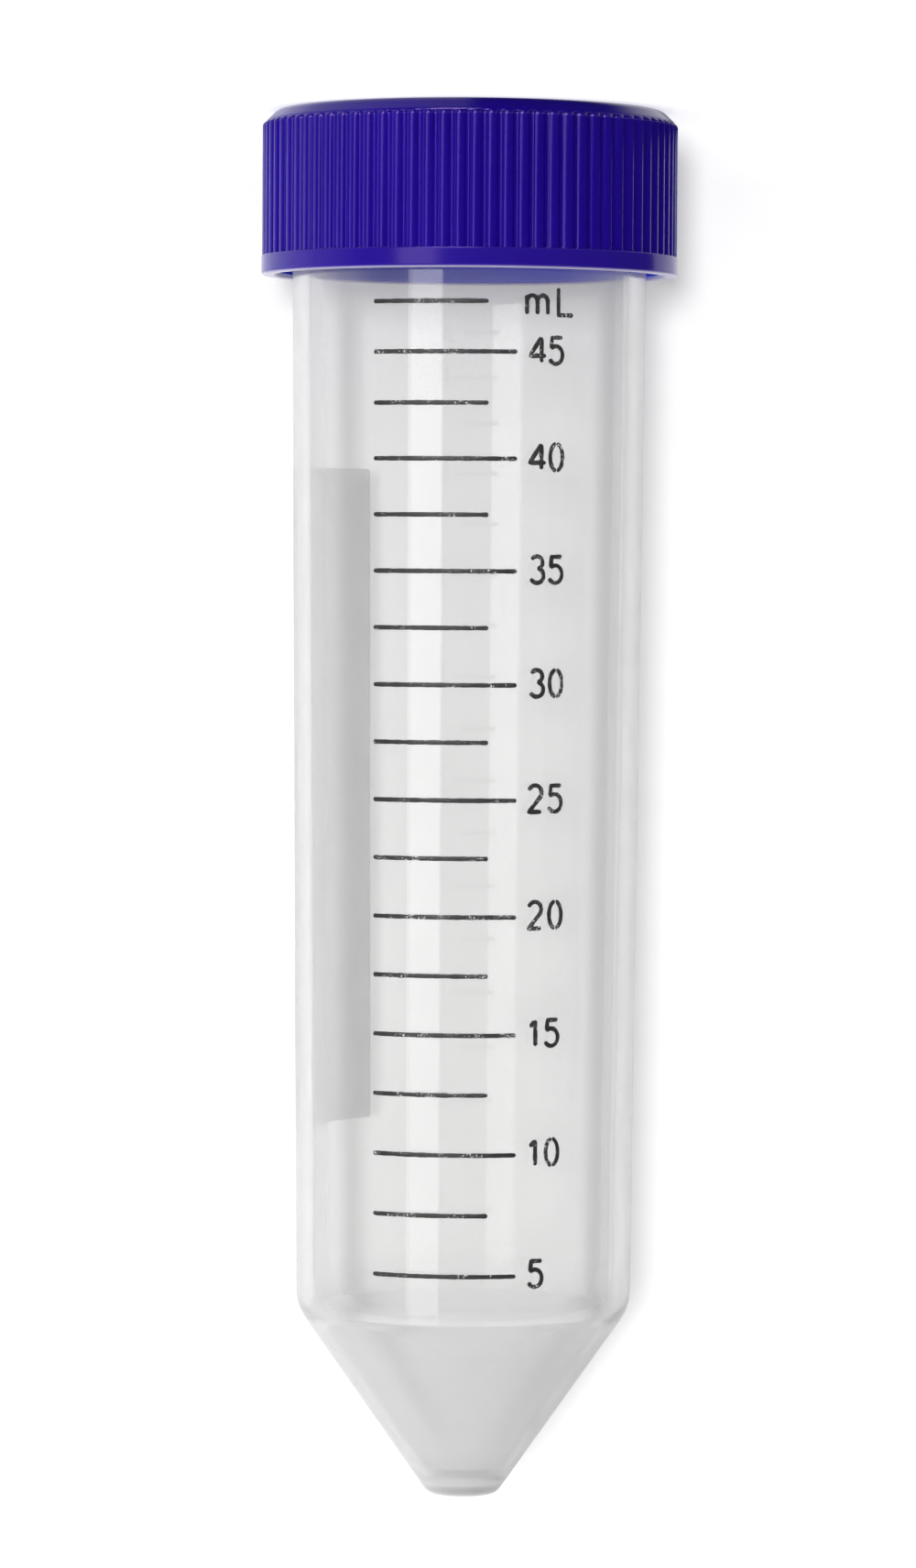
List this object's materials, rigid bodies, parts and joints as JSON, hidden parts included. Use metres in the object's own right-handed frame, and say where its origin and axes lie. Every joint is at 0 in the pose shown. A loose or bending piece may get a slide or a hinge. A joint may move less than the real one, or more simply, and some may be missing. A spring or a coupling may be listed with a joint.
{
  "type": "50 ml conical tube",
  "caption": "Clear conical-bottom centrifuge tube with printed volume scale, standing on its ribbed plug-seal screw cap, which lifts off along the tube's axis.",
  "frame": {"origin": "centre of the flat top of the cap, on which the closed tube stands", "axes": "+Z along the tube's axis from the cap to the tip, -Y out of the middle of the printed scale"},
  "size_m": [0.0344, 0.0344, 0.115],
  "materials": {
    "cap": "glossy deep violet-blue moulded polyethylene",
    "tube": "clear, slightly hazy moulded polypropylene",
    "scale_ink": "black screen-printed ink",
    "writing_patch": "white screen-printed patch for writing on"
  },
  "bodies": {
    "cap": {"cap": "cap"},
    "tube": {"tube": "tube"}
  },
  "joints": [
    {"name": "cap_lift", "type": "slide", "parent": "cap", "child": "tube", "axis": [0, 0, 1], "range_m": [0, 0.03]}
  ]
}
